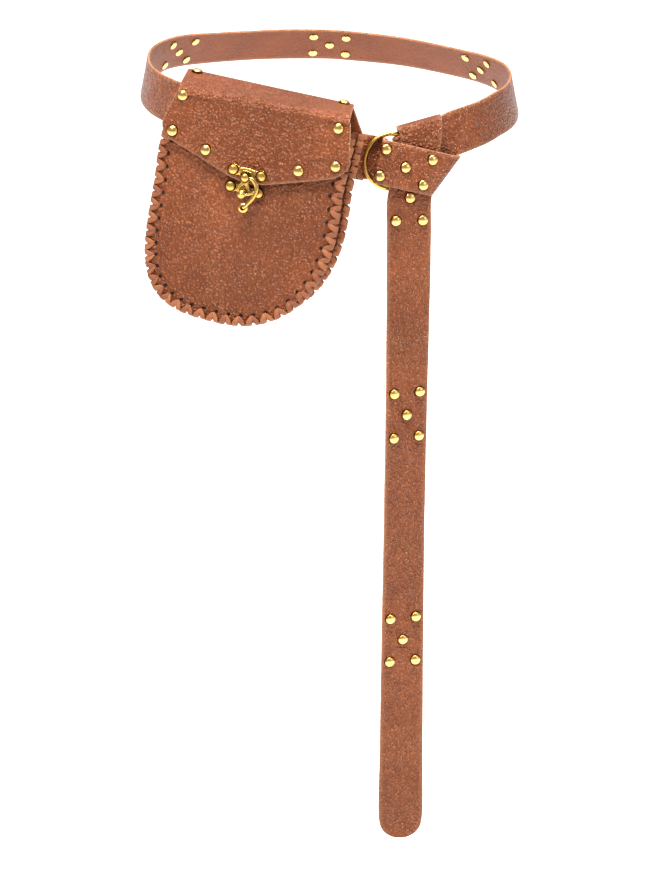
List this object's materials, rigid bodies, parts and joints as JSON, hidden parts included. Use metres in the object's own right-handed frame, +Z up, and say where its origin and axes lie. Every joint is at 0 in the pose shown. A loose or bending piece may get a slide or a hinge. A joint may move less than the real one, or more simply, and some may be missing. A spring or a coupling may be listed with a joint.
{
  "type": "belt pouch",
  "caption": "Laced leather belt pouch with a flap and a brass swing clasp, on a riveted ring belt that is tied in a knot and hangs down at the front.",
  "frame": {"origin": "the middle of the waist opening that the belt goes round, level with the belt's middle height", "axes": "+X to the right as seen from the front, +Y to the wearer's back, +Z up; the knot and the pouch are on the -Y side"},
  "size_m": [0.3295, 0.3349, 0.6944],
  "materials": {
    "leather": "pebbled, semi-gloss",
    "lace": "matte",
    "brass": "polished, darkened in its recesses"
  },
  "bodies": {
    "pouch_on_belt": {"belt_strap": "leather", "rivet_tail_low_1": "brass", "rivet_tail_low_2": "brass", "rivet_tail_low_3": "brass", "rivet_tail_low_4": "brass", "rivet_tail_low_5": "brass", "rivet_tail_mid_1": "brass", "rivet_tail_mid_2": "brass", "rivet_tail_mid_3": "brass", "rivet_tail_mid_4": "brass", "rivet_tail_mid_5": "brass", "rivet_tail_high_1": "brass", "rivet_tail_high_2": "brass", "rivet_tail_high_3": "brass", "rivet_knot_1": "brass", "rivet_knot_2": "brass", "rivet_knot_3": "brass", "rivet_knot_4": "brass", "rivet_knot_5": "brass", "rivet_right_1": "brass", "rivet_right_2": "brass", "rivet_right_3": "brass", "rivet_right_4": "brass", "rivet_right_5": "brass", "rivet_centre_1": "brass", "rivet_centre_2": "brass", "rivet_centre_3": "brass", "rivet_centre_4": "brass", "rivet_centre_5": "brass", "rivet_left_1": "brass", "rivet_left_2": "brass", "rivet_left_3": "brass", "rivet_left_4": "brass", "rivet_left_5": "brass", "pouch_front": "leather", "pouch_back_flap": "leather", "rivet_flap_left_high": "brass", "rivet_flap_left_low": "brass", "rivet_flap_left_inner": "brass", "rivet_flap_right_high": "brass", "rivet_flap_right_low": "brass", "rivet_flap_right_inner": "brass", "rivet_flap_left_rear": "brass", "rivet_flap_right_rear": "brass", "pouch_gusset": "leather", "lace_front": "lace", "lace_back": "lace", "belt_loop_left": "leather", "belt_loop_right": "leather", "clasp_upper": "brass", "clasp_lower": "brass", "belt_ring": "brass"},
    "hook": {"clasp_hook": "brass"}
  },
  "joints": [
    {"name": "hook_swing", "type": "hinge", "parent": "pouch_on_belt", "child": "hook", "pos_m": [-0.06956, -0.17979, -0.01965], "axis": [-0.2059, -0.9686, 0.1392], "range_deg": [0, 100]}
  ]
}
